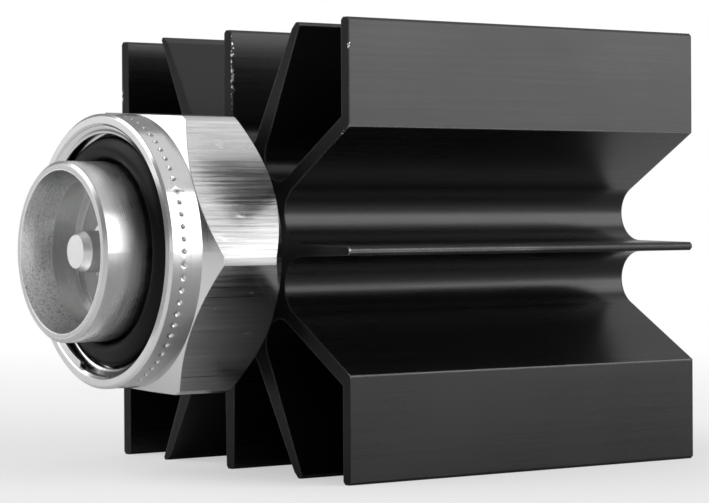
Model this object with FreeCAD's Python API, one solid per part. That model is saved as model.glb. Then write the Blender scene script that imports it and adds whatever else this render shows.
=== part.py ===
# RF dummy load: a 7-16 size coaxial plug on the end of a black finned aluminium extrusion.
#
# The plug's axis is the Y axis and the plug faces -Y. The origin is on that axis, in the plane
# where the outer conductors of two mated connectors touch. Z is up, and the load lies on the
# tips of its lower fins. Sizes are millimetres, and a station is a place along +Y.

import FreeCAD, Part
import math
import os

V = FreeCAD.Vector

# Heatsink extrusion, seen from its end
sink_width = 50.0
sink_height = 52.6
sink_length = 52.0
fin_pitch = 30.0              # degrees between neighbouring fins
diagonal_lift = 1.0           # degrees that the diagonal fins stand above their pitch
tilted_lean = 0.7             # degrees that the tilted fins stand nearer to the upright
vertical_root = 1.9           # fin thicknesses, at the channel bottoms and at the tips
vertical_tip = 1.5
tilted_root = 2.3
tilted_tip = 1.4
diagonal_thickness = 1.75
horizontal_root = 1.4
horizontal_tip = 0.95
plate_thickness = 1.5
tip_break = 0.35              # chamfer on the fin tips
tilted_tip_break = 0.8
core_wall = 1.7               # from the plug's neck to the bottoms of the channels
channel_rise = 2.85           # how far the round channel bottoms climb the fins

# Outer conductor of the plug
bore_radius = 8.0
contact_face = 0.85           # width of the ring that the mating conductor presses on
mouth_flare = 0.55
flare_length = 3.95
sleeve_wall = 1.6
sleeve_reach = 7.3            # the sleeve stands this far in front of the contact plane
sleeve_break = 0.35
bead_station = 3.0            # shoulder that the bead is pressed against
pocket_step = 0.5
neck_wall = 2.3
neck_socket = 15.0            # length of neck inside the heatsink
neck_room = 0.75

# Front gasket and the land that carries the nut
gasket_station = -1.7
gasket_thickness = 2.5
gasket_width = 3.3
gasket_undercut = 0.25        # shallow neck in the sleeve that keeps the gasket on
neck_margin = 0.05            # that neck starts this far in front of the gasket
land_drop = 1.2               # below the thread's root, so that the land passes the thread
land_nose = 7.55              # land in front of the snap ring
land_tail = 2.75              # land behind it

# Coupling nut
coupling_gap = 4.05           # from the sleeve out to the root of the M29 x 1.5 thread
nut_wall = 1.5                # from the thread's root to the flats
nut_length = 14.8
nut_lip = 3.0                 # length of the inner lip that the snap ring holds
nut_gap = 3.1                 # free space between nut and heatsink
nut_turn = 3.3                # degrees, as the nut happens to stand
corner_stand = 2.2            # height of the turned-off corners over the flats
collar_length = 4.15
collar_inset = 0.05
collar_break = 0.3
front_cone_slope = 1.58       # radius gained for each millimetre of length
rear_cone_slope = 1.0
mouth_chamfer = 0.35
running_clearance = 0.08

# Snap ring, seated in a groove in the land
ring_width = 1.2
ring_play = 0.1
ring_seat = 1.0               # depth of the groove
ring_engagement = 0.85        # how far the ring stands over the bore of the nut's lip
ring_gap = 3.0

# Inner conductor
pin_radius = 2.43
pin_nose_radius = 1.93
pin_nose_length = 0.9
pin_reach = 5.25
shoulder_radius = 3.5
shoulder_reach = 1.25
stud_radius = 2.2
stud_grip = 4.0
bead_thickness = 5.0
contact_length = 13.0
contact_wall = 0.7
socket_depth = 4.0
slit_width = 0.5
slit_length = 5.0

# Film resistor
cap_length = 3.0
cap_wall = 0.3
cap_gap = 1.0                 # behind the bottom of the contact's socket
cap_seat = 2.0                # length of the rear cap inside the ground plug
sleeve_steps = 3              # stretches of different bore in the sleeve round the resistor
cap_clearance = 0.5           # between the rear cap and the last step of the sleeve

# Ground plug, its spring, and the disc that closes the heatsink
plug_length = 20.25
plug_socket_flats = 8.0
plug_socket_depth = 5.0
spring_height = 1.0
spring_hole = 1.3
disc_thickness = 1.0
disc_gap = 0.5

# Radii that follow from the sizes above
sleeve_bore = bore_radius + contact_face
sleeve_mouth = sleeve_bore + mouth_flare
sleeve_radius = sleeve_bore + sleeve_wall
gasket_inner = sleeve_radius - gasket_undercut
pocket_radius = bore_radius + pocket_step
neck_radius = pocket_radius + neck_wall
root_radius = neck_radius + core_wall
thread_radius = sleeve_radius + coupling_gap
land_radius = thread_radius - land_drop
lip_radius = land_radius + running_clearance
flat_radius = thread_radius + nut_wall
corner_radius = flat_radius + corner_stand
collar_radius = flat_radius - collar_inset
ring_inner = land_radius - ring_seat
ring_outer = lip_radius + ring_engagement
cap_radius = shoulder_radius - contact_wall
rod_radius = cap_radius - cap_wall

# Stations that follow from the sizes above, from front to back
land_front = gasket_station + gasket_thickness
ring_front = land_front + land_nose
ring_back = ring_front + ring_width
land_back = ring_back + land_tail
lip_front = ring_back + ring_play
nut_back = lip_front + nut_lip
nut_front = nut_back - nut_length
sink_front = nut_back + nut_gap
sink_back = sink_front + sink_length
neck_back = sink_front + neck_socket
bead_back = bead_station + bead_thickness
contact_back = bead_back + contact_length
plug_back = sink_back - disc_thickness - disc_gap
plug_front = plug_back - plug_length
front_cap = contact_back - socket_depth + cap_gap
rear_cap = plug_front + cap_seat


def turned(profile):
    """Solid of revolution about the plug's axis, from corners given as (radius, station)."""
    corners = [V(radius, station, 0) for radius, station in profile]
    face = Part.Face(Part.makePolygon(corners + corners[:1]))
    return face.revolve(V(0, 0, 0), V(0, 1, 0), 360)


def tube(inner, outer, front, back):
    return turned([(inner, front), (outer, front), (outer, back), (inner, back)])


def rod(radius, front, back):
    return Part.makeCylinder(radius, back - front, V(0, front, 0), V(0, 1, 0))


def around(degrees):
    """Unit vector across the axis, turned from straight up towards +X."""
    angle = math.radians(degrees)
    return V(math.sin(angle), 0, math.cos(angle))


def hexagon(flat, turn, front, back):
    """Hexagonal prism along the axis, with one flat's normal turned from straight up."""
    corners = [around(turn + 30 + 60 * k) * (flat / math.cos(math.pi / 6)) for k in range(7)]
    face = Part.Face(Part.makePolygon([c + V(0, front, 0) for c in corners]))
    return face.extrude(V(0, back - front, 0))


class Fin:
    """Centre line of one fin, its flanks, and how thick it is from root to tip."""

    def __init__(self, lift, root, tip):
        self.along = V(math.cos(math.radians(lift)), 0, math.sin(math.radians(lift)))
        self.across = V(-self.along.z, 0, self.along.x)
        self.start = root_radius + channel_rise
        self.end = sink_height / 2
        self.root = root
        self.tip = tip

    def flank(self, reach, side):
        """Point on a flank, by its distance along the fin; side is 1 above and -1 below."""
        share = (reach - self.start) / (self.end - self.start)
        thickness = self.root + share * (self.tip - self.root)
        return self.along * reach + self.across * (side * thickness / 2)

    def flank_at(self, side, x=None, z=None):
        """Point where a flank crosses an upright line at x or a level line at z."""
        a = self.flank(self.start, side)
        b = self.flank(self.end, side)
        share = (x - a.x) / (b.x - a.x) if z is None else (z - a.z) / (b.z - a.z)
        return a + (b - a) * share

    def foot(self, side):
        return self.flank(self.start, side)


def channel(lower, upper):
    """Round bottom of the channel between two neighbouring fins."""
    middle = lower.along + upper.along
    middle.normalize()
    return Part.Arc(lower.foot(1), middle * root_radius, upper.foot(-1)).toShape()


def towards(point, target, distance):
    """Point moved a distance towards another one."""
    step = target - point
    step.normalize()
    return point + step * distance


def quarter_section():
    """A quarter of the extrusion's section: half a level fin round to half an upright one."""
    half_width = sink_width / 2
    half_height = sink_height / 2
    level = Fin(0, horizontal_root, horizontal_tip)
    diagonal = Fin(fin_pitch + diagonal_lift, diagonal_thickness, diagonal_thickness)
    tilted = Fin(2 * fin_pitch + tilted_lean, tilted_root, tilted_tip)
    upright = Fin(3 * fin_pitch, vertical_root, vertical_tip)
    plate_inside = half_width - plate_thickness

    level_tip = level.flank_at(1, x=half_width)
    level_end = [V(half_width, 0, 0), V(half_width, 0, level_tip.z - tip_break),
                 level.flank_at(1, x=half_width - tip_break), level.foot(1)]
    outer_bend = diagonal.flank_at(-1, x=half_width)
    inner_bend = diagonal.flank_at(1, x=plate_inside)
    plate = [diagonal.foot(-1), outer_bend,
             V(half_width, 0, half_height - tip_break), V(half_width - tip_break, 0, half_height),
             V(plate_inside + tip_break, 0, half_height), V(plate_inside, 0, half_height - tip_break),
             inner_bend, diagonal.foot(1)]
    outer_corner = tilted.flank_at(-1, z=half_height)
    inner_corner = tilted.flank_at(1, z=half_height)
    tilted_end = [tilted.foot(-1), towards(outer_corner, tilted.foot(-1), tip_break),
                  towards(outer_corner, inner_corner, tip_break),
                  towards(inner_corner, outer_corner, tilted_tip_break / 2),
                  towards(inner_corner, tilted.foot(1), tilted_tip_break), tilted.foot(1)]
    upright_corner = upright.flank_at(-1, z=half_height)
    upright_end = [upright.foot(-1), towards(upright_corner, upright.foot(-1), tip_break),
                   towards(upright_corner, V(0, 0, half_height), tip_break),
                   V(0, 0, half_height), V(0, 0, 0), V(half_width, 0, 0)]

    edges = []
    for line in (level_end, plate, tilted_end, upright_end):
        edges += [Part.LineSegment(a, b).toShape() for a, b in zip(line, line[1:])]
    edges += [channel(level, diagonal), channel(diagonal, tilted), channel(tilted, upright)]
    return Part.Face(Part.Wire(Part.__sortEdges__(edges)))


def heatsink():
    quarter = quarter_section()
    quarter.translate(V(0, sink_front, 0))
    quarter = quarter.extrude(V(0, sink_length, 0))
    half = quarter.fuse(quarter.mirror(V(0, 0, 0), V(1, 0, 0)))
    whole = half.fuse(half.mirror(V(0, 0, 0), V(0, 0, 1))).removeSplitter()
    counterbore = rod(neck_radius, sink_front, neck_back + neck_room)
    return whole.cut([counterbore, rod(pocket_radius, sink_front, sink_back)])


def connector_body():
    """Outer conductor of the plug, with the nut's land and the neck that holds the heatsink."""
    return turned([
        (sleeve_mouth, -sleeve_reach), (sleeve_radius - sleeve_break, -sleeve_reach),
        (sleeve_radius, sleeve_break - sleeve_reach), (sleeve_radius, gasket_station - neck_margin),
        (gasket_inner, gasket_station - neck_margin), (gasket_inner, land_front),
        (land_radius, land_front), (land_radius, ring_front), (ring_inner, ring_front),
        (ring_inner, ring_back + ring_play), (land_radius, ring_back + ring_play),
        (land_radius, land_back), (neck_radius, land_back), (neck_radius, neck_back),
        (pocket_radius, neck_back), (pocket_radius, bead_station), (bore_radius, bead_station),
        (bore_radius, 0), (sleeve_bore, 0), (sleeve_bore, flare_length - sleeve_reach)])


def face_gasket():
    return tube(gasket_inner, gasket_inner + gasket_width, gasket_station, land_front)


def coupling_nut():
    """Hexagon nut with a round collar in front; cones turn its corners off at both ends."""
    front_cone = corner_stand / front_cone_slope
    rear_cone = corner_stand / rear_cone_slope
    collar_back = nut_front + collar_length
    blank = turned([
        (thread_radius + mouth_chamfer, nut_front), (collar_radius - collar_break, nut_front),
        (collar_radius, nut_front + collar_break), (collar_radius, collar_back),
        (corner_radius, collar_back + front_cone), (corner_radius, nut_back - rear_cone),
        (flat_radius, nut_back), (lip_radius, nut_back), (lip_radius, lip_front),
        (thread_radius, lip_front), (thread_radius, nut_front + mouth_chamfer)])
    return blank.common(hexagon(flat_radius, nut_turn, nut_front - 1, nut_back + 1))


def snap_ring():
    """Split ring in the land's groove: it stands in the way of the nut's lip."""
    ring = tube(ring_inner, ring_outer, ring_front, ring_back)
    gap = Part.makeBox(ring_gap, 3 * ring_width, ring_outer,
                       V(-ring_gap / 2, ring_front - ring_width, -ring_outer))
    return ring.cut(gap)


def centre_pin():
    return turned([
        (0, -pin_reach), (pin_nose_radius, -pin_reach), (pin_radius, pin_nose_length - pin_reach),
        (pin_radius, -shoulder_reach), (shoulder_radius, -shoulder_reach),
        (shoulder_radius, bead_station),
        (stud_radius, bead_station), (stud_radius, bead_back + stud_grip), (0, bead_back + stud_grip)])


def pin_bead():
    """White insulator that holds the inner conductor in the middle of the outer one."""
    return tube(stud_radius, pocket_radius, bead_station, bead_back)


def contact_sleeve():
    """Rear half of the inner conductor: it grips the stud and, with slit fingers, the resistor."""
    socket = contact_back - socket_depth
    sleeve = turned([
        (stud_radius, bead_back), (shoulder_radius, bead_back), (shoulder_radius, contact_back),
        (cap_radius, contact_back), (cap_radius, socket), (0, socket),
        (0, bead_back + stud_grip), (stud_radius, bead_back + stud_grip)])
    slit = Part.makeBox(3 * shoulder_radius, slit_length + 1, slit_width,
                        V(-1.5 * shoulder_radius, contact_back - slit_length, -slit_width / 2))
    across = slit.copy()
    across.rotate(V(0, 0, 0), V(0, 1, 0), 90)
    return sleeve.cut([slit, across])


def resistor_cap(bottom, length):
    """Metal cup on one end of the rod; its bottom is at a station and its mouth is length away."""
    inside = math.copysign(cap_wall, length)
    return turned([
        (0, bottom), (cap_radius, bottom), (cap_radius, bottom + length),
        (rod_radius, bottom + length), (rod_radius, bottom + inside), (0, bottom + inside)])


def resistor_rod():
    return rod(rod_radius, front_cap + cap_wall, rear_cap - cap_wall)


def stepped_sleeve():
    """Outer conductor round the resistor: its bore steps in towards the grounded end."""
    length = (plug_front - bead_back) / sleeve_steps
    fall = (bore_radius - cap_radius - cap_clearance) / (sleeve_steps - 1)
    profile = [(pocket_radius, plug_front), (pocket_radius, bead_back)]
    for step in range(sleeve_steps):
        radius = bore_radius - step * fall
        profile += [(radius, bead_back + step * length), (radius, bead_back + (step + 1) * length)]
    return turned(profile)


def ground_plug():
    """Threaded plug that closes the coaxial line, clamps its pieces and carries off their heat."""
    seat_floor = rear_cap + spring_height
    socket_floor = plug_back - plug_socket_depth
    plug = rod(pocket_radius, plug_front, plug_back).cut(rod(cap_radius, plug_front, seat_floor))
    return plug.cut(hexagon(plug_socket_flats / 2, 0, socket_floor, plug_back))


def disc_spring():
    """Spring washer, pressed flat, that keeps the resistor pushed forward."""
    return tube(spring_hole, cap_radius, rear_cap, rear_cap + spring_height)


def end_disc():
    return rod(pocket_radius, sink_back - disc_thickness, sink_back)


parts = {
    "heatsink": heatsink(),
    "connector_body": connector_body(),
    "face_gasket": face_gasket(),
    "coupling_nut": coupling_nut(),
    "snap_ring": snap_ring(),
    "centre_pin": centre_pin(),
    "pin_bead": pin_bead(),
    "contact_sleeve": contact_sleeve(),
    "resistor_rod": resistor_rod(),
    "resistor_front_cap": resistor_cap(front_cap, cap_length),
    "resistor_rear_cap": resistor_cap(rear_cap, -cap_length),
    "stepped_sleeve": stepped_sleeve(),
    "ground_plug": ground_plug(),
    "disc_spring": disc_spring(),
    "end_disc": end_disc(),
}

os.makedirs("parts", exist_ok=True)
for name, shape in parts.items():
    shape.exportStep("parts/" + name + ".step")
    box = shape.BoundBox
    print(f"{name:20s} solids {len(shape.Solids)}  volume {shape.Volume:9.1f}  valid {shape.isValid()}  "
          f"y {box.YMin:.2f} to {box.YMax:.2f}")
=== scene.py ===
# %% [markdown]
# # A coaxial dummy load, dressed in Blender
#
# The object is a radio plug on the end of a black finned heatsink. Its solids come ready made, at
# real size, in metres. This lesson gives each solid the finish that the real piece has, adds the
# three things that are too fine for the solids (a thread, a row of dimples and a gasket's crown),
# and lights it all.
# The first step loads the solids.

import bmesh
import bpy
import math
from mathutils import Matrix, Vector


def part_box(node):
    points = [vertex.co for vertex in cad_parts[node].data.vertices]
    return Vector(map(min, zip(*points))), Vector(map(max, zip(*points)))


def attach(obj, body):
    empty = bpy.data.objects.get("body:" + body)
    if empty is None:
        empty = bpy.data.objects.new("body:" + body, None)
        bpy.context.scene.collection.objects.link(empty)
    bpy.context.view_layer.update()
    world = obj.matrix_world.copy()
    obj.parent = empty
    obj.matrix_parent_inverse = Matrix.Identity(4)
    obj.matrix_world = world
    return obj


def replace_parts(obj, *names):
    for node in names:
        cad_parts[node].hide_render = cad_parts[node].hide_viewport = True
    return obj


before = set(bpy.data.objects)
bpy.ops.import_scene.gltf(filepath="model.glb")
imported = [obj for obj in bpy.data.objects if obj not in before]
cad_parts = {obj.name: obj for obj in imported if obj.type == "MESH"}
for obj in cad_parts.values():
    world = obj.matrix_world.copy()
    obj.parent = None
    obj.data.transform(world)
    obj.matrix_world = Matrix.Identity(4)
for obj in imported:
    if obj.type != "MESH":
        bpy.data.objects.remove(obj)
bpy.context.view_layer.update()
print("pieces:", ", ".join(sorted(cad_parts)))

# %% [markdown]
# Most places below are counted from the ends of the solids, so that a finish stays where it belongs
# when a solid changes. A box can't show a bore or a collar, so a few radii are written out, and so
# are the sizes of what only this lesson makes, such as a dimple. The plug's axis is the Y axis,
# with the plug towards -Y, and a "station" is a place along that axis.

# %% Sizes read from the solids
MM = 0.001

sink_low, sink_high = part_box("heatsink")
nut_low, nut_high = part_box("coupling_nut")
body_low, body_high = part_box("connector_body")
gasket_low, gasket_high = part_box("face_gasket")

sink_front = sink_low.y
nut_front = nut_low.y
body_front = body_low.y
print(f"heatsink {(sink_high - sink_low) / MM} mm, nut {(nut_high - nut_low) / MM} mm")
print(f"conductor {(body_high - body_low) / MM} mm")

# %% [markdown]
# The camera stands where the photographer's stood: a long lens, about 30 cm away, turned 54 degrees
# round the object and looking almost level. Working out a camera from three angles and a
# place keeps it readable. The small shift puts the object where it sits in the picture.

# %% Camera
PICTURE_WIDTH, PICTURE_HEIGHT = 709, 503
SENSOR = 36.0
FOCAL_PIXELS = 2549.25
CENTRE_COLUMN, CENTRE_ROW = 355.3, 234.1
NEAREST_SEEN = 10 * MM
CAMERA_PLACE = Vector((257.4 * MM, sink_front - 165.5 * MM, 3.8 * MM))
SWING, DIP, TILT = math.radians(54.42), math.radians(0.38), math.radians(-0.32)


def camera_turn():
    """Rotation that looks along the swing and dip, and is then rolled by the tilt."""
    level = Vector((math.cos(SWING), math.sin(SWING), 0))
    along = Vector((-math.sin(SWING), math.cos(SWING), 0))
    ahead = math.cos(DIP) * along - Vector((0, 0, math.sin(DIP)))
    rise = level.cross(ahead)
    right = math.cos(TILT) * level + math.sin(TILT) * rise
    return Matrix((right, (-ahead).cross(right), -ahead)).transposed()


camera_data = bpy.data.cameras.new("camera")
camera_data.sensor_width = SENSOR
camera_data.lens = FOCAL_PIXELS * SENSOR / PICTURE_WIDTH
camera_data.shift_x = (PICTURE_WIDTH / 2 - CENTRE_COLUMN) / PICTURE_WIDTH
camera_data.shift_y = (CENTRE_ROW - PICTURE_HEIGHT / 2) / PICTURE_WIDTH
camera_data.clip_start = NEAREST_SEEN
camera = bpy.data.objects.new("camera", camera_data)
camera.matrix_world = Matrix.Translation(CAMERA_PLACE) @ camera_turn().to_4x4()
bpy.context.scene.collection.objects.link(camera)
bpy.context.scene.camera = camera
bpy.context.scene.view_settings.view_transform = "Standard"
print(f"lens {camera_data.lens:.1f} mm")

# %% [markdown]
# Shader maths reads best as sums. This class wraps one socket, and each operator adds the node
# that does it: Math for a value, Vector Math for a vector, Mix for a colour. The reflected forms
# let a plain number stand first, so that `1 - mask` works too. A Mix node has a set of sockets for
# each kind of data, and the numbers here are those of its colours.

# %% A socket that does sums
MIX_SHARE, MIX_FIRST, MIX_SECOND, MIX_RESULT = 0, 6, 7, 2


class Wire:
    def __init__(self, tree, socket):
        self.tree = tree
        self.socket = socket

    def combine(self, other, operation, swapped=False):
        first, second = (other, self) if swapped else (self, other)
        if self.socket.type == "VALUE":
            return self.tree.node("Math", {"operation": operation}, {0: first, 1: second})
        if self.socket.type == "VECTOR":
            return self.tree.node("VectorMath", {"operation": operation}, {0: first, 1: second})
        settings = {"data_type": "RGBA", "blend_type": operation, "clamp_factor": True}
        inputs = {MIX_SHARE: 1.0, MIX_FIRST: first, MIX_SECOND: second}
        return self.tree.node("Mix", settings, inputs, output=MIX_RESULT)

    def __add__(self, other):
        return self.combine(other, "ADD")

    def __radd__(self, other):
        return self.combine(other, "ADD", swapped=True)

    def __sub__(self, other):
        return self.combine(other, "SUBTRACT")

    def __rsub__(self, other):
        return self.combine(other, "SUBTRACT", swapped=True)

    def __mul__(self, other):
        return self.combine(other, "MULTIPLY")

    def __rmul__(self, other):
        return self.combine(other, "MULTIPLY", swapped=True)

    def __truediv__(self, other):
        return self.combine(other, "DIVIDE")

    def __rtruediv__(self, other):
        return self.combine(other, "DIVIDE", swapped=True)


print("reflected sums:", ", ".join(name for name in vars(Wire) if name.startswith("__r")))

# %% [markdown]
# A node tree belongs to a material or to the world. The `node` method makes any node: the settings
# go in first, and then each input gets a value or a wire. The rest are short words for what every
# tree here needs: the place of a point and its three parts, a soft step, a band between two steps,
# and a noise that can be drawn out into streaks.

# %% A tree of nodes


class Tree:
    def __init__(self, owner, coordinate):
        owner.use_nodes = True
        self.nodes = owner.node_tree.nodes
        self.links = owner.node_tree.links
        self.nodes.clear()
        self.place = self.node("TexCoord", output=coordinate)
        self.x, self.y, self.z = self.parts(self.place)

    def node(self, kind, settings=None, inputs=None, output=0):
        made = self.nodes.new("ShaderNode" + kind)
        for key, value in (settings or {}).items():
            setattr(made, key, value)
        for key, value in (inputs or {}).items():
            if isinstance(value, Wire):
                self.links.new(value.socket, made.inputs[key])
            else:
                made.inputs[key].default_value = value
        return Wire(self, made.outputs[output])

    def parts(self, vector):
        """The X, Y and Z of a vector."""
        split = self.node("SeparateXYZ", inputs={0: vector}).socket.node
        return [Wire(self, output) for output in split.outputs]

    def maths(self, operation, *values):
        """Any other sum of one or two values."""
        return self.node("Math", {"operation": operation}, dict(enumerate(values)))

    def step(self, value, low, high):
        """Rises smoothly from 0 to 1 while the value goes from low to high."""
        inputs = {"Value": value, "From Min": low, "From Max": high}
        return self.node("MapRange", {"interpolation_type": "SMOOTHSTEP"}, inputs)

    def band(self, value, low, high, soft):
        """Is 1 between low and high, with soft edges."""
        return self.step(value, low - soft, low + soft) * (1 - self.step(value, high - soft, high + soft))

    def noise(self, scale, detail=2.0, roughness=0.5, stretch=(1, 1, 1), place=None):
        """Noise with so many waves a metre; a small stretch draws it out along that axis."""
        drawn = (place or self.place) * stretch
        inputs = {"Vector": drawn, "Scale": scale, "Detail": detail, "Roughness": roughness}
        return self.node("TexNoise", inputs=inputs)

    def mix(self, share, first, second):
        """Colour between two others."""
        inputs = {MIX_SHARE: share, MIX_FIRST: first, MIX_SECOND: second}
        return self.node("Mix", {"data_type": "RGBA"}, inputs, output=MIX_RESULT)

    def grey(self, value):
        """Colour of one lightness."""
        return self.node("CombineColor", inputs={0: value, 1: value, 2: value})


def colour(level, tint=(1.0, 1.0, 1.0)):
    """An opaque colour: a lightness times a tint."""
    return tuple(level * t for t in tint) + (1.0,)


def sway(noise, size):
    """A noise as a push up and down, from minus half the size to plus half of it."""
    return (noise - 0.5) * size


print("a tree can make:", ", ".join(name for name in vars(Tree) if "__" not in name))

# %% [markdown]
# A finish is the tree of one material, with a Principled shader at its end. What is the same all
# over a piece is set on that shader's own sockets when the finish is made, and what changes from
# place to place is linked to them. A Bevel node rounds a piece's edges in the shading only, which
# gives each edge its thin bright line without a single new face. Where it turns the surface it
# also marks the edges, which the heatsink lightens for the wear of hands and tools and as painted
# highlight.

# %% A finish
BEVEL_SAMPLES = 4
# Cosines of the angle by which the Bevel node turns the surface
EDGE_FULLY_MARKED, EDGE_UNMARKED = 0.86, 0.975


class Finish(Tree):
    def __init__(self, name, **sockets):
        self.material = bpy.data.materials.new(name)
        super().__init__(self.material, "Object")
        self.shader = self.nodes.new("ShaderNodeBsdfPrincipled")
        self.output = self.nodes.new("ShaderNodeOutputMaterial")
        self.links.new(self.shader.outputs[0], self.output.inputs[0])
        for socket, value in sockets.items():
            self.shader.inputs[socket.replace("_", " ")].default_value = value

    def set(self, **sockets):
        """Links wires to the shader's own sockets."""
        for socket, wire in sockets.items():
            self.links.new(wire.socket, self.shader.inputs[socket.replace("_", " ")])

    def cover(self, share, shader):
        """Lays another shader over this one, by its share."""
        inputs = {0: share, 1: Wire(self, self.shader.outputs[0]), 2: shader}
        both = self.node("MixShader", inputs=inputs)
        self.links.new(both.socket, self.output.inputs[0])

    def facing(self):
        """The way the surface looks, without rounding or bumps."""
        return self.node("NewGeometry", output="Normal")

    def end_on(self):
        """Is 1 on a face square to the plug's axis and 0 on one that runs along it."""
        return self.maths("ABSOLUTE", self.parts(self.facing())[1])

    def rounded(self, radius):
        """Normal of the surface as if its sharp edges were rounded a little."""
        return self.node("Bevel", {"samples": BEVEL_SAMPLES}, {"Radius": radius})

    def worn_and_highlit_edge(self, rounded):
        """Is 1 on a rounded edge and 0 on the open faces."""
        both = {0: rounded, 1: self.facing()}
        agreement = self.node("VectorMath", {"operation": "DOT_PRODUCT"}, both, output="Value")
        return 1 - self.step(agreement, EDGE_FULLY_MARKED, EDGE_UNMARKED)

    def bump(self, height, distance, strength, over=None):
        """Normal of a surface with this height on it, over a rounded one if that is given."""
        inputs = {"Height": height, "Distance": distance, "Strength": strength}
        if over is not None:
            inputs["Normal"] = over
        return self.node("Bump", inputs=inputs)


def announce(material):
    print(f"{material.name}: {len(material.node_tree.nodes)} nodes")


print("a finish adds:", ", ".join(name for name in vars(Finish) if "__" not in name))

# %% [markdown]
# Most of this object was turned on a lathe, so its marks run in rings. On a turned piece it helps
# to read a point by its distance from the axis and its angle round it. Noise laid out on
# (distance, station, a little of the angle) gives rings that are broken up here and there, as a
# tool leaves them, rather than perfect circles.

# %% Round places


def distance_from_axis(finish):
    return finish.maths("SQRT", finish.x * finish.x + finish.z * finish.z)


def angle_round_axis(finish):
    """Angle in radians, from straight up towards +X."""
    return finish.maths("ARCTAN2", finish.x, finish.z)


def ring_marks(finish, pitch, breaks=0.35):
    """Lathe marks: noise that changes fast with station and distance, and slowly round the axis."""
    angle = angle_round_axis(finish)
    across = finish.maths("SINE", angle) * breaks
    along = finish.y / pitch + distance_from_axis(finish) / pitch
    up = finish.maths("COSINE", angle) * breaks
    around = finish.node("CombineXYZ", inputs={0: across, 1: along, 2: up})
    return finish.noise(1.0, detail=3.0, roughness=0.6, place=around)


print(f"the nut reaches {nut_high.x / MM:.2f} mm from the axis")

# %% [markdown]
# The heatsink is an aluminium extrusion, anodised black. The dye goes into a glassy layer on the
# metal, so it is an almost black body colour under a soft gloss. The die leaves fine lines along
# the whole length, and the saw leaves the two ends rougher. Long noise along Y makes the lines, and
# the surface's own direction tells the sawn ends from the drawn faces. The edges are lighter, partly
# where the black has rubbed thin and partly as painted highlight, and where the plates bend and at
# the tip of the level fin a brighter painted highlight is added. Where the edges have been knocked,
# small nicks show bare metal. Each nick is a place and its reach along X, Y and Z in millimetres.

# %% Nicks in the heatsink's edges
FIN_TIP = sink_high.z
NICKS = {
    "tip of the level fin": ((sink_high.x, sink_front, 0.0), (0.4, 0.3, 0.4)),
    "top of the upright fin": ((0.85 * MM, sink_front, 0.834 * FIN_TIP), (0.3, 0.5, 6.5)),
    "far plate": ((sink_low.x, sink_front, 0.74 * FIN_TIP), (0.5, 0.4, 1.1)),
    "near plate": ((sink_high.x, sink_front, 0.875 * FIN_TIP), (0.45, 0.4, 0.4)),
    "upper bend": ((sink_high.x - 1.2 * MM, sink_front, 13.2 * MM), (0.5, 0.2, 0.7)),
}
RAGGEDNESS = 3.6
FULLY_BARE, STILL_BLACK = 0.2, 0.4


def bare_metal(finish, grain):
    """Is 1 in the nicks, with ragged outlines."""
    bare = 0.0
    for centre, reach in NICKS.values():
        away = finish.node("VectorMath", {"operation": "SUBTRACT"}, {0: finish.place, 1: centre})
        away = away * tuple(1 / (length * MM) for length in reach)
        distance = finish.node("VectorMath", {"operation": "LENGTH"}, {0: away}, output="Value")
        ragged = distance + sway(grain, RAGGEDNESS)
        bare = 1 - finish.step(ragged, FULLY_BARE, STILL_BLACK) + bare
    return finish.maths("MINIMUM", bare, 1.0)


print("nicks:", ", ".join(NICKS))

# %% [markdown]
# The lighter edge lines, part wear and part painted highlight, come from the edges that the Bevel
# node marks, broken up by two noises so that they fade in and out. The bends are flatter than the
# other edges and would get too little by that measure, so a mask of their height adds a painted
# highlight there and along the tip of the level fin. The sawn ends scatter light more than a gloss
# can, so a second, matte shader lies over them.

# %% Black anodised extrusion
BLACK, BLACK_SAWN = 0.0028, 0.0042
# Edge tones: part wear, part painted highlight; a brighter painted highlight at the bends and the fin tip
RUBBED_AND_HIGHLIT_TONE, PAINTED_HIGHLIGHT_TONE = 0.13, 0.3
BARE = 0.75
EDGE_ROUNDING = 0.3 * MM
BEND_HEIGHT = 14.0 * MM
TIP_HIGHLIGHT_END = sink_front + 29 * MM
MARK_DEPTH = 0.008 * MM
MATTE_SHARE = 0.85


def painted_bend_and_tip_highlight(finish):
    """Painted highlight: is 1 at the bends of the near plates and along the front half of the level fin's
    tip.
    """
    off_level = finish.maths("ABSOLUTE", finish.z)
    bend = finish.band(off_level, BEND_HEIGHT - EDGE_ROUNDING, BEND_HEIGHT + EDGE_ROUNDING, 0.1 * MM)
    tip = 1 - finish.step(off_level, EDGE_ROUNDING, 2 * EDGE_ROUNDING)
    tip = tip * (1 - finish.step(finish.y, TIP_HIGHLIGHT_END - 3 * MM, TIP_HIGHLIGHT_END))
    outermost = finish.step(finish.x, sink_high.x - 0.6 * MM, sink_high.x - 0.3 * MM)
    return (bend + tip) * outermost


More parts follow.
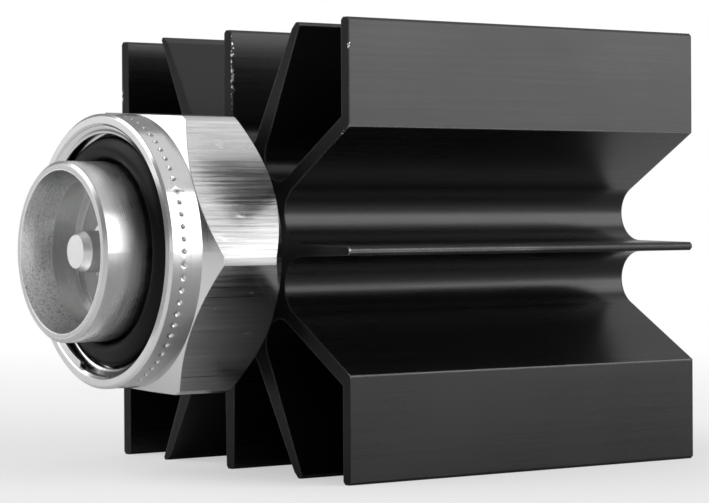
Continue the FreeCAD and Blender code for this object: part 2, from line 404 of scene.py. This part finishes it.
def black_anodised():
    finish = Finish("black anodised extrusion")
    sawn = finish.step(finish.end_on(), 0.7, 0.9)
    lines = finish.noise(2400, detail=3.0, stretch=(1, 0.012, 1))
    broad = finish.noise(260, stretch=(1, 0.04, 1))
    grain = finish.noise(2600)
    patches = finish.noise(70, detail=3.0)
    saw = finish.noise(1300, stretch=(1, 1, 0.06))
    rounded = finish.rounded(EDGE_ROUNDING)
    # Painted highlight at the bends and along the front of the level fin's tip
    bend_and_tip_highlight = painted_bend_and_tip_highlight(finish)
    broken = finish.step(patches + sway(grain, 0.5), 0.35, 0.75)
    # Lighter edges: part wear, part painted highlight
    rubbed_and_highlit = finish.worn_and_highlit_edge(rounded) * (0.35 + 0.65 * broken)
    rubbed_and_highlit = finish.maths("MINIMUM", rubbed_and_highlit * (1 + bend_and_tip_highlight * 1.6), 1.0)
    bare = bare_metal(finish, grain)
    body = finish.mix(sawn, colour(BLACK), colour(BLACK_SAWN))
    body = finish.mix(rubbed_and_highlit, body, finish.mix(bend_and_tip_highlight, colour(RUBBED_AND_HIGHLIT_TONE), colour(PAINTED_HIGHLIGHT_TONE)))
    body = finish.mix(bare, body, colour(BARE))
    dull = 0.29 + sway(lines, 0.12) + sway(patches, 0.12) + sawn * 0.1 - rubbed_and_highlit * 0.06
    height = (1 - sawn) * (lines * 0.3 + broad * 0.5) + sawn * saw * 1.2
    marks = finish.bump(height, MARK_DEPTH, 0.5, over=rounded)
    finish.set(Base_Color=body, Roughness=dull, Metallic=bare, Normal=marks)
    matte = {"Base Color": body, "Roughness": 0.6, "Specular IOR Level": 0.15, "Normal": marks}
    finish.cover(sawn * (1 - bare) * MATTE_SHARE, finish.node("BsdfPrincipled", inputs=matte))
    return finish.material


anodised = black_anodised()
announce(anodised)

# %% [markdown]
# The nut is brass under a thin, bright skin of nickel. Its six flats are milled, and the cutter's
# strokes run along the axis; its collar, cones and mouth are turned, so their marks run round.
#
# The collar carries a row of seventy small dimples, which a later step cuts into the mesh. Here each
# only gets painted shade: the angle is cut into seventy cells, and the colour darkens near the middle
# of each. The flats have a few deep scores, drawn as lines along the axis. Each is an angle in
# degrees and the two stations, in millimetres, between which it runs.

# %% Painted shade in the dimples, and scores on the nut
DIMPLES = 70
DIMPLE_WIDTH = 0.6 * MM
DIMPLE_DEPTH = 0.29 * MM
DIMPLE_STATION = nut_front + 1.75 * MM
COLLAR_RADIUS = 15.95 * MM
DIMPLE_GAP = math.tau * COLLAR_RADIUS / DIMPLES
FLAT_DISTANCE = 16.0 * MM
SCORE_WIDTH = 0.05 * MM
SCORES = (
    (51.5, 5.8, 13.0),
    (53.4, 2.0, 9.5),
    (60.2, 1.2, 12.0),
    (69.4, 4.0, 13.0),
    (70.8, 7.5, 13.0),
    (108.0, 1.0, 9.0),
    (111.5, 1.0, 6.0),
    (146.0, 3.0, 8.0),
)


def dimple_painted_shade(finish):
    """Painted shade: is 1 in the middle of each dimple, and falls to 0 at its rim."""
    turns = angle_round_axis(finish) * (DIMPLES / math.tau)
    along = (finish.maths("FRACT", turns) - 0.5) * DIMPLE_GAP
    across = finish.y - DIMPLE_STATION
    from_middle = finish.maths("SQRT", along * along + across * across)
    outside = finish.step(distance_from_axis(finish), 15.3 * MM, 15.5 * MM)
    return (1 - finish.step(from_middle, 0.05 * DIMPLE_WIDTH, 0.5 * DIMPLE_WIDTH)) * outside


def scores(finish, waver):
    """Is 1 in the deep scores, which waver a little and break off here and there."""
    angle = angle_round_axis(finish)
    found = 0.0
    for degrees, front, back in SCORES:
        off_line = (angle - math.radians(degrees)) * FLAT_DISTANCE + sway(waver, 3 * SCORE_WIDTH)
        aside = finish.maths("ABSOLUTE", off_line)
        line = 1 - finish.step(aside, 0.3 * SCORE_WIDTH, SCORE_WIDTH * 1.3)
        found = line * finish.band(finish.y, front * MM, back * MM, 0.6 * MM) + found
    return found * finish.step(waver, 0.3, 0.55)


print("dimples:", DIMPLES, "scores:", len(SCORES))

# %% [markdown]
# Bright metal is mostly reflection, so what makes it look milled is what bends and blurs the
# reflection: broad waves and fine strokes in the height, the scores, and short bright bruises. The
# colour itself changes little. A point is on a flat where the surface faces straight out and lies
# behind the collar. The roots of the thread see hardly any light, so they get painted shade: a
# darker tone by their distance from the axis.

# %% Nickel-plated nut
COLLAR_BACK = nut_front + 4.15 * MM
THREAD_MOUTH = nut_front + 0.35 * MM
NICKEL_TONE, NICKEL_DULL = 0.72, 0.19


def nickel_nut():
    finish = Finish("nickel plated nut", Metallic=1.0)
    out = distance_from_axis(finish)
    flat = finish.step(finish.y, COLLAR_BACK, COLLAR_BACK + 0.1 * MM)
    flat = flat * (1 - finish.step(finish.end_on(), 0.1, 0.25))
    flat = flat * finish.step(out, 15.6 * MM, 15.8 * MM)
    strokes = finish.noise(3200, detail=4.0, roughness=0.7, stretch=(1, 0.025, 1))
    waves = finish.noise(330, stretch=(1, 0.08, 1))
    bruises = finish.step(finish.noise(900, stretch=(1, 0.35, 1)), 0.66, 0.74)
    rings = ring_marks(finish, 0.1 * MM)
    stains = finish.noise(240, detail=4.0)
    scored = scores(finish, waves) * flat
    # Painted shade in the middle of each dimple
    painted_shade_in_dimples = finish.step(dimple_painted_shade(finish), 0.5, 0.95)
    # Painted shade in the roots of the thread
    painted_root_shade = finish.band(out, 13.95 * MM, 14.7 * MM, 0.12 * MM)
    painted_root_shade = painted_root_shade * finish.step(finish.y, THREAD_MOUTH, THREAD_MOUTH + 0.15 * MM)
    dull = NICKEL_DULL + flat * (sway(strokes, 0.3) + bruises * 0.1) + (1 - flat) * sway(rings, 0.2)
    tone = NICKEL_TONE + flat * (sway(strokes, 0.5) + bruises * 0.08 - scored * 0.6)
    tone = tone + (1 - flat) * sway(rings, 0.12) + sway(stains, 0.08) - painted_shade_in_dimples * 0.35 - painted_root_shade * 0.55
    height = flat * (strokes * 0.35 + waves * 1.6 - scored * 0.5) + (1 - flat) * rings * 0.35
    marks = finish.bump(height, MARK_DEPTH, 0.6, over=finish.rounded(0.14 * MM))
    finish.set(Base_Color=finish.grey(tone), Roughness=dull, Normal=marks)
    return finish.material


nickel = nickel_nut()
announce(nickel)

# %% [markdown]
# The plug's outer conductor has the same skin, turned all over and then barrel plated, which
# softens the marks. Just inside the mouth the bore is frosted, most of all low down, because the
# deposit grew rough there, and deeper in it is smooth. The mating conductor has burnished and
# darkened the ring that it presses on, at station 0.

# %% Plated outer conductor
FROST_BACK = body_front + 3.95 * MM
BORE_LIMIT = 9.55 * MM
RING_LIMIT = 8.95 * MM
RING_HALF = 0.1 * MM
PLATED_TONE, PLATED_DULL = 0.64, 0.29


def plated_body():
    finish = Finish("plated outer conductor", Metallic=1.0)
    out = distance_from_axis(finish)
    rings = ring_marks(finish, 0.1 * MM, breaks=0.8)
    frost = finish.noise(3200, detail=3.0, roughness=0.8)
    clouds = finish.noise(230, detail=3.0)
    inside = 1 - finish.step(out, 0.995 * BORE_LIMIT, BORE_LIMIT)
    taper = inside * (1 - finish.step(finish.y, FROST_BACK - 0.1 * MM, FROST_BACK + 0.1 * MM))
    frosted = taper * (1 - 0.65 * finish.step(finish.z, -5 * MM, 1 * MM))
    pressed = 1 - finish.step(out, 0.99 * RING_LIMIT, RING_LIMIT)
    pressed = pressed * finish.band(finish.y, -RING_HALF, RING_HALF, 0.05 * MM)
    dull = PLATED_DULL - inside * 0.05 + sway(rings, 0.18) + sway(clouds, 0.16)
    dull = dull + frosted * (0.1 + sway(frost, 0.3)) - pressed * 0.06
    tone = PLATED_TONE + sway(rings, 0.14) + sway(clouds, 0.14) + frosted * sway(frost, 2.2)
    tone = tone - pressed * 0.3 + inside * 0.16 + taper * 0.14
    height = rings * 0.4 + frost * (frosted * 6.0 + 0.1)
    marks = finish.bump(height, MARK_DEPTH, 0.6, over=finish.rounded(0.18 * MM))
    finish.set(Base_Color=finish.grey(tone), Roughness=dull, Normal=marks)
    return finish.material


conductor = plated_body()
announce(conductor)

# %% [markdown]
# The inner conductor's parts are silver plated: whiter than nickel, with a faint warm bloom where
# the silver has begun to tarnish. The faces that look along the axis are bright from the facing
# tool. The round sides have been rubbed by every mate and are duller and greyer.

# %% Silver plate
SILVER, SILVER_SIDE = 0.94, 0.72
BLOOM = colour(0.86, (1.0, 0.98, 0.94))


def silver_plate():
    finish = Finish("silver plate", Metallic=1.0)
    side = 1 - finish.step(finish.end_on(), 0.6, 0.95)
    rings = ring_marks(finish, 0.09 * MM, breaks=0.6)
    bloom = finish.noise(500, detail=3.0)
    body = finish.mix(finish.step(bloom, 0.5, 0.85), colour(SILVER), BLOOM)
    body = finish.mix(side, body, colour(SILVER_SIDE))
    dull = 0.2 + sway(rings, 0.14) + sway(bloom, 0.1) + side * 0.12
    marks = finish.bump(rings, 0.5 * MARK_DEPTH, 0.5, over=finish.rounded(0.08 * MM))
    finish.set(Base_Color=body, Roughness=dull, Normal=marks)
    return finish.material


silver = silver_plate()
announce(silver)

# %% [markdown]
# The face gasket is moulded black silicone rubber. Rubber scatters light in its skin, so it is
# almost black with a wide, weak sheen, and a fine dusty grain.

# %% Rubber gasket
RUBBER, DUST = 0.0025, 0.03


def black_rubber():
    finish = Finish("black rubber", Specular_IOR_Level=0.14)
    dust = finish.noise(2600, detail=3.0)
    smudge = finish.noise(260, detail=3.0)
    dusty = finish.step(dust, 0.62, 0.8) * finish.step(smudge, 0.4, 0.7)
    body = finish.mix(dusty, colour(RUBBER), colour(DUST))
    dull = 0.36 + sway(smudge, 0.25) + sway(dust, 0.1)
    finish.set(Base_Color=body, Roughness=dull, Normal=finish.bump(dust, 0.012 * MM, 0.4))
    return finish.material


rubber = black_rubber()
announce(rubber)

# %% [markdown]
# The bead that centres the pin is turned from white fluoropolymer. It is waxy: light goes a
# little way in, which subsurface scattering gives, and its tool marks are soft.

# %% White bead


def waxy_white():
    finish = Finish("white fluoropolymer", Subsurface_Weight=0.25, Subsurface_Scale=0.8 * MM)
    rings = ring_marks(finish, 0.2 * MM)
    body = finish.mix(rings, colour(0.78), colour(0.86))
    marks = finish.bump(rings, 0.01 * MM, 0.4)
    finish.set(Base_Color=body, Roughness=0.45 + sway(rings, 0.2), Normal=marks)
    return finish.material


bead_white = waxy_white()
announce(bead_white)

# %% [markdown]
# The sealed pieces show only in a cut view, but each still has its own metal: bare turned
# aluminium and brass, spring bronze, stamped steel and tinned caps. They differ in colour, in
# gloss and in how coarse their marks are, so one function makes them from those three facts.

# %% Plain metals
TIN = colour(0.7)
STEEL = colour(0.5)
ALUMINIUM = colour(0.8, (1.0, 1.0, 1.02))
BRASS = colour(0.8, (1.0, 0.78, 0.42))
BRONZE = colour(0.7, (1.0, 0.72, 0.42))


def turned_metal(name, body, gloss, pitch):
    finish = Finish(name, Metallic=1.0)
    rings = ring_marks(finish, pitch)
    tarnish = finish.noise(350, detail=4.0)
    shade = finish.mix((rings - 0.3) * 0.5, body, colour(0.75, body[:3]))
    shade = finish.mix(finish.step(tarnish, 0.55, 0.8) * 0.4, shade, colour(0.6, body[:3]))
    dull = gloss + sway(rings, 0.25) + sway(tarnish, 0.15)
    finish.set(Base_Color=shade, Roughness=dull, Normal=finish.bump(rings, 0.08 * pitch, 0.6))
    return finish.material


turned = {
    "snap_ring": turned_metal("spring bronze", BRONZE, 0.3, 0.1 * MM),
    "resistor_front_cap": turned_metal("tinned cap", TIN, 0.35, 0.15 * MM),
    "resistor_rear_cap": turned_metal("tinned cap, rear", TIN, 0.35, 0.15 * MM),
    "stepped_sleeve": turned_metal("bare aluminium", ALUMINIUM, 0.3, 0.2 * MM),
    "ground_plug": turned_metal("bare brass", BRASS, 0.28, 0.18 * MM),
    "disc_spring": turned_metal("spring steel", STEEL, 0.35, 0.12 * MM),
}
print("turned pieces:", ", ".join(turned))

# %% [markdown]
# The resistor itself is a ceramic rod under a thin dark film and clear lacquer. The film is
# trimmed by a fine spiral cut, which shows as a line that winds from cap to cap.

# %% Resistive film
SPIRAL_PITCH = 1.8 * MM
BLUISH = (0.8, 0.9, 1.2)
CERAMIC = colour(0.55, (1.0, 0.97, 0.9))


def resistive_film():
    finish = Finish("resistive film", Coat_Roughness=0.1)
    turns = finish.y / SPIRAL_PITCH + angle_round_axis(finish) / math.tau
    from_cut = finish.maths("ABSOLUTE", finish.maths("FRACT", turns) - 0.5)
    cut = 1 - finish.step(from_cut, 0.03, 0.06)
    speckle = finish.noise(2500, detail=3.0)
    film = finish.mix(speckle, colour(0.03, BLUISH), colour(0.07, BLUISH))
    body = finish.mix(cut, film, CERAMIC)
    groove = finish.bump(1 - cut, 0.03 * MM, 0.6)
    finish.set(Base_Color=body, Roughness=0.3 + sway(speckle, 0.2), Coat_Weight=0.8 - cut * 0.5)
    finish.set(Normal=groove)
    return finish.material


film = resistive_film()
announce(film)

# %% [markdown]
# Each solid gets its finish by name. The list doubles as the object's parts list.

# %% Finish for every piece
finishes = {
    "heatsink": anodised,
    "end_disc": anodised,
    "coupling_nut": nickel,
    "connector_body": conductor,
    "face_gasket": rubber,
    "centre_pin": silver,
    "contact_sleeve": silver,
    "pin_bead": bead_white,
    "resistor_rod": film,
    **turned,
}
for name, material in finishes.items():
    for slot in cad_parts[name].material_slots:
        slot.material = material
print("finished:", len(finishes), "pieces of", len(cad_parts))

# %% [markdown]
# Three pieces are made here as meshes. Each rides on one of the object's two bodies, so that it
# moves with it, and gets one of the finishes made above. A mesh turned from an outline is a
# grid of points, row after row, so one function lists the faces of any such grid. Its ends meet in
# seams, which are welded, and the faces are then turned to look outwards.

# %% Making a piece
WELD = 0.001 * MM


def lathe_faces(rows, columns):
    """Faces between rows of a mesh whose points run row after row."""
    faces = []
    for row in range(rows - 1):
        for k in range(row * columns, (row + 1) * columns - 1):
            faces.append((k, k + 1, k + columns + 1, k + columns))
    return faces


def stand_in(name, mesh, material, body):
    """An object for a finished mesh, riding on one of the object's bodies."""
    mesh.materials.clear()
    mesh.materials.append(material)
    piece = bpy.data.objects.new(name, mesh)
    bpy.context.scene.collection.objects.link(piece)
    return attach(piece, body)


def new_piece(name, points, faces, material, body):
    """A closed piece from points and faces, with its seams welded and its faces turned outwards."""
    mesh = bpy.data.meshes.new(name)
    mesh.from_pydata(points, [], faces)
    work = bmesh.new()
    work.from_mesh(mesh)
    bmesh.ops.remove_doubles(work, verts=work.verts, dist=WELD)
    bmesh.ops.recalc_face_normals(work, faces=work.faces)
    work.to_mesh(mesh)
    work.free()
    return stand_in(name, mesh, material, body)


print("seams closer than", WELD / MM, "mm are welded")

# %% [markdown]
# The nut screws onto the mating plug with a 29 x 1.5 mm thread. The solid is bored out to the
# thread's root, so the ridge is built here: one profile carried round and along as a helix. At the
# mouth it starts blunt, as the photo shows it a little left of the nut's lowest point, and at its
# far end the tool runs out, so the ridge sinks into the bore over a tenth of a turn.

# %% Thread in the nut
THREAD_PITCH = 1.5 * MM
THREAD_ROOT = 14.5 * MM
THREAD_DEPTH = 0.8 * MM
THREAD_START = nut_front + 0.2 * MM
THREAD_START_ANGLE = math.radians(199)
THREAD_RUN_OUT = 0.1
THREAD_TURNS = 5.8
STEPS_A_TURN = 96
LET_INTO_METAL = 0.03 * MM
BEHIND_THE_FACE = 0.01 * MM
# Half the width of the ridge, in pitches
HALF_FOOT, HALF_CREST = 0.42, 0.13


def thread_ridge():
    """One helical ridge, standing in from the nut's bore; its foot is let into the metal."""
    foot_front, foot_back = (LET_INTO_METAL, -HALF_FOOT), (LET_INTO_METAL, HALF_FOOT)
    crest_front, crest_back = (-THREAD_DEPTH, -HALF_CREST), (-THREAD_DEPTH, HALF_CREST)
    corners = (foot_front, crest_front, crest_back, foot_back, foot_front)
    steps = round(THREAD_TURNS * STEPS_A_TURN)
    points = []
    for step in range(steps + 1):
        turns = step / STEPS_A_TURN
        angle = THREAD_START_ANGLE + math.tau * turns
        height = min(1.0, max(0.0, THREAD_TURNS - turns) / THREAD_RUN_OUT)
        for rise, shift in corners:
            out = THREAD_ROOT + (rise * height if rise < 0 else rise)
            station = THREAD_START + THREAD_PITCH * (turns + shift)
            station = max(station, nut_front + BEHIND_THE_FACE)
            points.append((out * math.sin(angle), station, out * math.cos(angle)))
    faces = lathe_faces(steps + 1, len(corners))
    last = steps * len(corners)
    faces += [(0, 1, 2, 3), (last, last + 1, last + 2, last + 3)]
    return new_piece("nut_thread", points, faces, nickel, "nut")


thread = thread_ridge()
print("thread ridge:", len(thread.data.polygons), "faces")

# %% [markdown]
# The dimples are punched into the collar, and each catches the light on one side. They are too small
# for the solid, so they are cut into a copy of its mesh. The copy loses the collar's plain band, and
# a finer band takes its place: its columns and rows stand close together at each dimple and far
# apart elsewhere, and every point within a dimple drops towards the axis as a cone does. The rest
# of the copy keeps the solid's shape and its smooth shading.

# %% Dimpled collar
STEPS_ACROSS = 8
REACH = 0.6 * DIMPLE_WIDTH
NEAR_A_DIMPLE = [(step / (STEPS_ACROSS / 2) - 1) * REACH for step in range(STEPS_ACROSS + 1)]
COLLAR_TOLERANCE = 0.02 * MM


def on_collar(face):
    """True for a face of the collar's plain outer band."""
    distances = [math.hypot(v.co.x, v.co.z) for v in face.verts]
    return all(abs(distance - COLLAR_RADIUS) < COLLAR_TOLERANCE for distance in distances)


def point_on_band(place, station):
    """Point at a place round the collar, let down towards the axis where it lies in a dimple."""
    aside = (place / DIMPLE_GAP) % 1.0 * DIMPLE_GAP - DIMPLE_GAP / 2
    from_middle = math.hypot(aside, station - DIMPLE_STATION)
    out = COLLAR_RADIUS - DIMPLE_DEPTH * max(0.0, 1 - from_middle / (DIMPLE_WIDTH / 2))
    angle = place / COLLAR_RADIUS
    return out * math.sin(angle), station, out * math.cos(angle)


def add_band(work, front, back):
    """Fills the gap between two stations with the fine, dimpled band."""
    rows = [front, (front + DIMPLE_STATION) / 2] + [DIMPLE_STATION + near for near in NEAR_A_DIMPLE]
    rows += [(DIMPLE_STATION + back) / 2, back]
    asides = NEAR_A_DIMPLE + [DIMPLE_GAP / 2]
    columns = [(k + 0.5) * DIMPLE_GAP + aside for k in range(DIMPLES) for aside in asides]
    grid = [[work.verts.new(point_on_band(place, station)) for place in columns] for station in rows]
    for fore, aft in zip(grid, grid[1:]):
        for k in range(len(columns)):
            work.faces.new((fore[k - 1], fore[k], aft[k], aft[k - 1])).smooth = True


def dimpled_nut():
    """Copy of the solid nut, with the plain band of its collar exchanged for the dimpled one."""
    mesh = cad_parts["coupling_nut"].data.copy()
    work = bmesh.new()
    work.from_mesh(mesh)
    band = [face for face in work.faces if on_collar(face)]
    stations = [v.co.y for face in band for v in face.verts]
    bmesh.ops.delete(work, geom=band, context="FACES")
    add_band(work, min(stations), max(stations))
    work.to_mesh(mesh)
    work.free()
    piece = stand_in("dimpled_nut", mesh, nickel, "nut")
    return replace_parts(piece, "coupling_nut")


nut = dimpled_nut()
print("nut with dimples:", len(nut.data.polygons), "faces")

# %% [markdown]
# The gasket is moulded with a crowned face, which the plain solid ring only stands in for. It is
# turned here from a smooth outline that stays inside the solid's box: rounded at the inner and the
# outer lip, with its highest line a third of the way out. The outline's points are shares of the
# ring's width and depth.

# %% Crowned gasket
GASKET_BORE = 10.2 * MM
GASKET_STEPS = 192
INNER_LIP = ((0.0, 1.0), (0.0, 0.62), (0.07, 0.45), (0.15, 0.18), (0.24, 0.04))
CROWN = ((0.36, 0.0), (0.5, 0.015), (0.64, 0.06), (0.78, 0.14))
OUTER_LIP = ((0.9, 0.26), (0.98, 0.42), (1.0, 0.6), (1.0, 1.0))


def crowned_gasket():
    """Ring turned from the outline, smoothed by one step of subdivision."""
    width = gasket_high.x - GASKET_BORE
    depth = gasket_high.y - gasket_low.y
    shares = INNER_LIP + CROWN + OUTER_LIP
    outline = [(GASKET_BORE + share * width, gasket_low.y + back * depth) for share, back in shares]
    outline.append(outline[0])
    points = []
    for step in range(GASKET_STEPS + 1):
        angle = math.tau * step / GASKET_STEPS
        points += [(out * math.sin(angle), station, out * math.cos(angle)) for out, station in outline]
    faces = lathe_faces(GASKET_STEPS + 1, len(outline))
    ring = new_piece("crowned_gasket", points, faces, rubber, "load")
    ring.data.polygons.foreach_set("use_smooth", [True] * len(ring.data.polygons))
    rounder = ring.modifiers.new("rounder", "SUBSURF")
    rounder.levels = rounder.render_levels = 1
    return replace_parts(ring, "face_gasket")


gasket = crowned_gasket()
print("gasket:", len(gasket.data.polygons), "faces")

# %% [markdown]
# The object lies on a plain pale floor that fades into a white surround. To the camera the floor
# glows: half near the object, so that it still keeps the soft shadow there, and fully further out.
# Every other ray meets a plain matte floor. The lower faces of the nut and the channels mirror the
# floor right beside the heatsink, and in the photograph it is greyer there, so a painted shadow,
# switched on by Light Path's Is Glossy Ray, darkens it for reflections only.

# %% Floor
FLOOR_SIZE = 6.0
FLOOR_TONE = 0.9
FADE_START, FADE_END = 0.07, 0.32
FLOOR_GLOW = 0.5
# Depth and reach of the painted shadow beside the heatsink
PAINTED_SHADOW = 0.5
PAINTED_SHADOW_START, PAINTED_SHADOW_END = 0.05, 0.5


def painted_shadow_beside(finish, far):
    """Painted shadow: is 1 for reflections of the floor to the right of the heatsink, and fades with
    distance.
    """
    beside = finish.step(finish.x, 0.0, 15 * MM)
    beside = beside * finish.step(finish.y, sink_front - 16 * MM, sink_front - 4 * MM)
    near = 1 - finish.step(far, PAINTED_SHADOW_START, PAINTED_SHADOW_END)
    return beside * near * finish.node("LightPath", output="Is Glossy Ray")


def floor_finish():
    """Matte, near white, and glowing where the camera looks at it."""
    finish = Finish("pale floor", Roughness=0.6, Specular_IOR_Level=0.1)
    far = finish.maths("SQRT", finish.x * finish.x + finish.y * finish.y)
    # Painted shadow on the floor beside the heatsink, for reflections only
    tone = FLOOR_TONE + sway(finish.noise(900), 0.03) - painted_shadow_beside(finish, far) * PAINTED_SHADOW
    finish.set(Base_Color=finish.grey(tone))
    white = finish.node("Emission", inputs={"Color": colour(1.0), "Strength": 1.0})
    faded = FLOOR_GLOW + (1 - FLOOR_GLOW) * finish.step(far, FADE_START, FADE_END)
    finish.cover(faded * finish.node("LightPath", output="Is Camera Ray"), white)
    return finish.material


def pale_floor():
    half = FLOOR_SIZE / 2
    corners = [(-half, -half, 0), (half, -half, 0), (half, half, 0), (-half, half, 0)]
    mesh = bpy.data.meshes.new("floor")
    mesh.from_pydata(corners, [], [(0, 1, 2, 3)])
    mesh.materials.append(floor_finish())
    floor = bpy.data.objects.new("floor", mesh)
    floor.location.z = sink_low.z
    bpy.context.scene.collection.objects.link(floor)
    return floor


floor = pale_floor()
print("floor at", floor.location.z / MM, "mm")

# %% [markdown]
# Bright metal shows the room it stands in, so the world is made of what the reflections on the
# object show: white round the horizon, grey overhead, and one dark patch straight in front, where
# the unlit room lay. That is what the camera and reflections find. As a light, the world is one
# even grey. Its tree is the same kind as a finish's, read by the ray's direction, which is the
# world's Generated coordinate.

# %% World
WORLD_LIGHT = 0.38
OVERHEAD = 0.3
DARK_ROOM = 0.03
WHITE_UP_TO, GREY_FROM = 0.09, 0.2


def seen_directly(tree):
    """Is 1 for rays from the camera and for those that metal and glass send on."""
    first, second, third = (
        tree.node("LightPath", output=f"Is {kind} Ray") for kind in ("Camera", "Glossy", "Transmission"))
    return tree.maths("MAXIMUM", tree.maths("MAXIMUM", first, second), third)


def surround():
    world = bpy.data.worlds.new("surround")
    tree = Tree(world, "Generated")
    dark_room = tree.step(0 - tree.y, 0.9, 0.96) * tree.step(tree.z, 0.01, 0.05)
    rise = tree.step(tree.z, WHITE_UP_TO, GREY_FROM)
    seen = tree.mix(dark_room, tree.mix(rise, colour(1.0), colour(OVERHEAD)), colour(DARK_ROOM))
    looked_at = tree.node("Background", inputs={"Color": seen})
    light = tree.node("Background", inputs={"Color": colour(WORLD_LIGHT)})
    both = tree.node("MixShader", inputs={0: seen_directly(tree), 1: light, 2: looked_at})
    output = tree.nodes.new("ShaderNodeOutputWorld")
    tree.links.new(both.socket, output.inputs[0])
    bpy.context.scene.world = world


surround()
print("world light:", WORLD_LIGHT)

# %% [markdown]
# Three soft boxes stand where the highlights on the object say they stood: one to the right and
# behind, which draws the white band along the nut, one to the front left, for the faces of the
# plug, and one overhead. Each is given by where it stands, how wide and high it is, and how
# bright its face is. A lamp's power is its brightness times its area times pi.

# %% Soft boxes
TARGET = Vector((0, 0.02, 0))
BOX_DISTANCE = 0.9


def soft_box(name, azimuth, elevation, size, brightness):
    """Rectangular lamp that faces the object; azimuth 0 is along -Y, and 90 along +X."""
    turn, rise = math.radians(azimuth), math.radians(elevation)
    data = bpy.data.lights.new(name, "AREA")
    data.shape = "RECTANGLE"
    data.size, data.size_y = size
    data.energy = brightness * size[0] * size[1] * math.pi
    lamp = bpy.data.objects.new(name, data)
    level = math.cos(rise)
    towards = Vector((math.sin(turn) * level, -math.cos(turn) * level, math.sin(rise)))
    lamp.location = TARGET + BOX_DISTANCE * towards
    lamp.rotation_euler = (TARGET - lamp.location).to_track_quat("-Z", "Y").to_euler()
    lamp.visible_camera = False
    bpy.context.scene.collection.objects.link(lamp)


soft_box("side box", azimuth=124, elevation=21, size=(0.8, 0.64), brightness=2.9)
soft_box("front box", azimuth=-38, elevation=40, size=(0.8, 0.7), brightness=2.0)
soft_box("top box", azimuth=172, elevation=60, size=(0.9, 0.6), brightness=0.5)

# %% [markdown]
